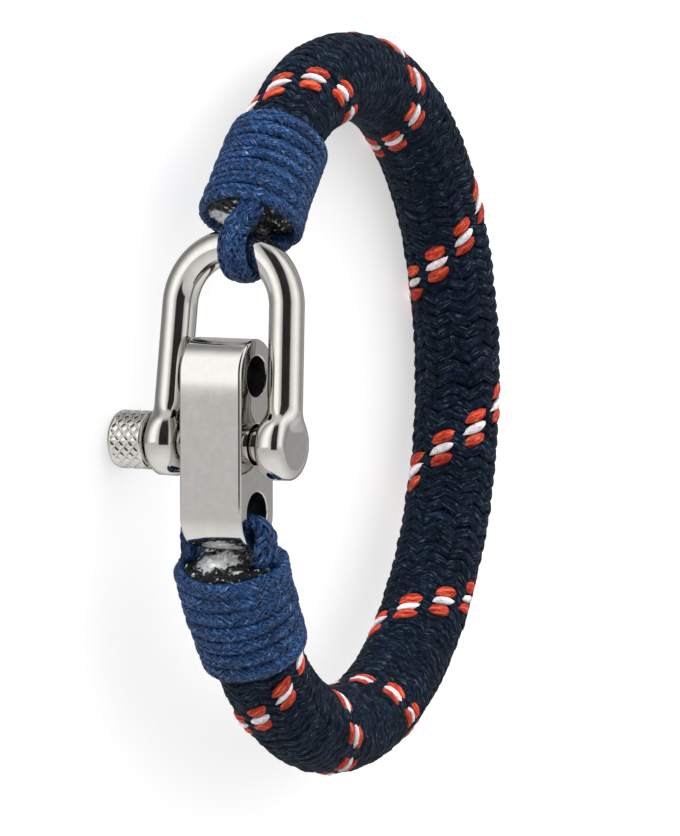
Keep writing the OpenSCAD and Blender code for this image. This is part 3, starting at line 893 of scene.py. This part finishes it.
def steel_material(name, dark, light, smooth, rough):
    """Metal with fine scuffs: smooth and rough are the least and the most roughness."""
    m, nodes, links, shader = material(name)
    place = nodes.new("ShaderNodeTexCoord").outputs["Object"]
    scuff = noise(nodes, links, place, 900.0, 4.0, 0.6)
    rough_at = ramp(nodes, links, scuff, [(0.35, (smooth,) * 3), (0.7, (rough,) * 3)])
    links.new(rough_at, shader.inputs["Roughness"])
    tint = ramp(nodes, links, scuff, [(0.3, dark), (0.7, light)])
    links.new(tint, shader.inputs["Base Color"])
    shader.inputs["Metallic"].default_value = 1.0
    return m


steel = steel_material("polished_steel", dark=(0.61, 0.592, 0.56), light=(0.66, 0.643, 0.612),
                       smooth=0.05, rough=0.11)
# Steel for the bores: a rougher finish, and its dark colour is painted shade inside the holes
shaded_bore_steel = steel_material("bore_steel_painted_shade", dark=(0.05, 0.055, 0.05), light=(0.13, 0.135, 0.125),
                            smooth=0.35, rough=0.5)


def seal_material():
    """Melted fibre: a pale core with a ragged rim, and painted glints as small pale dots on a dark ground.
    """
    m, nodes, links, shader = material("sealed_fibre")
    place = nodes.new("ShaderNodeTexCoord").outputs["Object"]
    blot = noise(nodes, links, place, 700.0, 5.0, 0.65)
    glint_noise = noise(nodes, links, place, 1300.0, 3.0, 0.6)
    warped = math_node(nodes, links, "MULTIPLY_ADD", blot, 0.9, tone_of(nodes))
    core = ramp(nodes, links, warped,
                [(0.64, (0.88, 0.89, 0.9)), (0.86, (0.5, 0.52, 0.53)), (0.94, (0.0, 0.0, 0.0))])
    # The small pale dots are painted glints on the dark melt
    glint_spots = ramp(nodes, links, glint_noise, [(0.6, (0.006, 0.007, 0.008)), (0.66, (0.55, 0.58, 0.55))])
    links.new(sum_of(nodes, links, core, glint_spots), shader.inputs["Base Color"])
    links.new(bump(nodes, links, blot, 0.0006), shader.inputs["Normal"])
    shader.inputs["Roughness"].default_value = 0.12
    shader.inputs["Specular IOR Level"].default_value = 0.2
    return m


seal = seal_material()


def dress(obj, mat, body, stands_for):
    """Give a piece its material, slot and body, and the solid that it stands for."""
    obj.data.materials.append(mat)
    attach(obj, body)
    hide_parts(stands_for)


for piece, mat in ((rope_right, navy), (rope_left, navy), (rope_core, navy),
                   (rope_red, red), (rope_white, white)):
    dress(piece, mat, "loop", "rope")
for piece in (whip_top, whip_top_core):
    dress(piece, blue, "loop", "whipping_top")
for piece in (whip_bottom, whip_bottom_core):
    dress(piece, blue, "loop", "whipping_bottom")
for piece in (loop_top, loop_top_core):
    dress(piece, loop_blue, "loop", "loop_top")
for piece in (loop_bottom, loop_bottom_core):
    dress(piece, loop_blue, "loop", "loop_bottom")
dress(seal_top, seal, "loop", "sealed_end_top")
dress(seal_bottom, seal, "loop", "sealed_end_bottom")
dress(shackle_steel, steel, "loop", "shackle")
dress(bar_steel, steel, "loop", "adjuster_bar")
# Faces inside the holes take the dark bore steel, which is painted shade
bar_steel.data.materials.append(shaded_bore_steel)
bar_steel.data.polygons.foreach_set("material_index", bar_inside)
dress(pin_head, steel, "screw_pin", "screw_pin")
dress(pin_shank, steel, "screw_pin", "screw_pin")


# Floor: it glows a little, so that it is almost white, and mirror-like rays pass through it
FLOOR_HALF, FLOOR_GREY, FLOOR_GLOW = 6, 0.55, 0.56
corners = [(x * FLOOR_HALF, y * FLOOR_HALF, 0) for x, y in ((-1, -1), (1, -1), (1, 1), (-1, 1))]
floor_mesh = bpy.data.meshes.new("floor")
floor_mesh.from_pydata(corners, [], [(0, 1, 2, 3)])
floor = bpy.data.objects.new("floor", floor_mesh)
bpy.context.scene.collection.objects.link(floor)
floor_mat, _, _, floor_shader = material("floor")
floor_shader.inputs["Base Color"].default_value = (FLOOR_GREY, FLOOR_GREY, FLOOR_GREY, 1)
floor_shader.inputs["Roughness"].default_value = 0.6
floor_shader.inputs["Emission Color"].default_value = (1, 1, 1, 1)
floor_shader.inputs["Emission Strength"].default_value = FLOOR_GLOW
floor_mesh.materials.append(floor_mat)
floor.visible_glossy = False


# Studio light from fixed directions: each pair is a place and a level of light
# ROUND is the walls by their turn, and BELOW the table by its rise, both in degrees
# BEHIND is the table's share, from -1 straight behind to 1 straight in front
ROUND = [(-180, 0.55), (-160, 0.5), (-140, 0.32), (-118, 0.26), (-97, 0.5), (-80, 1.0), (-66, 1.5),
         (-50, 1.5), (-38, 0.95), (-28, 0.62), (-23, 0.025), (24, 0.03), (30, 0.6), (40, 0.95), (55, 1.25),
         (68, 1.4), (82, 1.1), (98, 0.6), (116, 0.32), (128, 0.5), (140, 0.42), (158, 0.5), (180, 0.55)]
BELOW = [(-90, 1.0), (-76, 1.05), (-60, 1.05), (-45, 0.97), (-31, 0.87), (-17, 0.74), (-7, 0.72), (90, 0.72)]
BEHIND = [(-1.0, 0.45), (-0.85, 0.5), (-0.7, 0.75), (-0.4, 1.0), (1.0, 1.0)]
CEILING, CEILING_FROM, CEILING_FULL = 0.8, 0.86, 0.99
OPENING_LEFT, OPENING_RIGHT, OPENING_DROP = (-36, -24), (38, 26), 0.15
TABLE_EDGE = (-0.11, -0.04)
SOFT_RISE, SOFT_LEVEL, SOFT_LEAST = 1.9, 1.2, 0.15


def studio():
    """A pale room with a dark opening in front, bright panels beside it, dimmer sides and a grey table.

    Mirror-like rays see this room. All others see a soft light, brighter from above.
    """
    world = bpy.data.worlds.new("studio")
    bpy.context.scene.world = world
    world.use_nodes = True
    nodes, links = world.node_tree.nodes, world.node_tree.links
    background = nodes["Background"]
    place = nodes.new("ShaderNodeTexCoord")

    def part(axis):
        """How far each direction points along a fixed axis."""
        dot = nodes.new("ShaderNodeVectorMath")
        dot.operation = "DOT_PRODUCT"
        links.new(place.outputs["Generated"], dot.inputs[0])
        dot.inputs[1].default_value = axis
        return dot.outputs["Value"]

    def between(value, low, high):
        """A smooth step from 0 at low to 1 at high."""
        n = nodes.new("ShaderNodeMapRange")
        n.interpolation_type = "SMOOTHSTEP"
        n.inputs["From Min"].default_value = low
        n.inputs["From Max"].default_value = high
        links.new(value, n.inputs["Value"])
        return n.outputs["Result"]

    def level_at(value, low, high, stops):
        """Light level along a value: the ramp holds half of each level, because it ends at 1."""
        share = math_node(nodes, links, "MULTIPLY_ADD", value, 1 / (high - low), -low / (high - low))
        spread = [((at - low) / (high - low), (level / 2,) * 3) for at, level in stops]
        return math_node(nodes, links, "MULTIPLY", ramp(nodes, links, share, spread), 2.0)

    def blend(factor, a, b):
        n = nodes.new("ShaderNodeMix")
        n.data_type = "FLOAT"
        links.new(factor, n.inputs["Factor"])
        for socket, value in (("A", a), ("B", b)):
            if isinstance(value, float):
                n.inputs[socket].default_value = value
            else:
                links.new(value, n.inputs[socket])
        return n.outputs["Result"]

    right, up, near = part(PHOTO_RIGHT), part(PHOTO_UP), part(PHOTO_NEAR)
    turn = math_node(nodes, links, "ARCTAN2", right, near)
    rise = math_node(nodes, links, "ARCSINE", up)
    around = level_at(turn, -math.pi, math.pi, [(math.radians(a), v) for a, v in ROUND])
    above = blend(between(up, CEILING_FROM, CEILING_FULL), around, CEILING)
    below = level_at(rise, -math.pi / 2, math.pi / 2, [(math.radians(a), v) for a, v in BELOW])
    below = math_node(nodes, links, "MULTIPLY", below, level_at(near, -1.0, 1.0, BEHIND))
    opening = math_node(nodes, links, "MULTIPLY", between(turn, *np.radians(OPENING_LEFT)),
                        between(turn, *np.radians(OPENING_RIGHT)))
    lowered = math_node(nodes, links, "MULTIPLY_ADD", opening, OPENING_DROP, up)
    room = blend(between(lowered, *TABLE_EDGE), below, above)
    soft = math_node(nodes, links, "MULTIPLY_ADD", up, SOFT_RISE, SOFT_LEVEL)
    soft = math_node(nodes, links, "MAXIMUM", soft, SOFT_LEAST)
    path = nodes.new("ShaderNodeLightPath")
    links.new(blend(path.outputs["Is Glossy Ray"], soft, room), background.inputs["Strength"])
    background.inputs["Color"].default_value = (1, 1, 1, 1)


studio()
scene = bpy.context.scene
scene.view_settings.view_transform = "Standard"
scene.view_settings.look = "None"
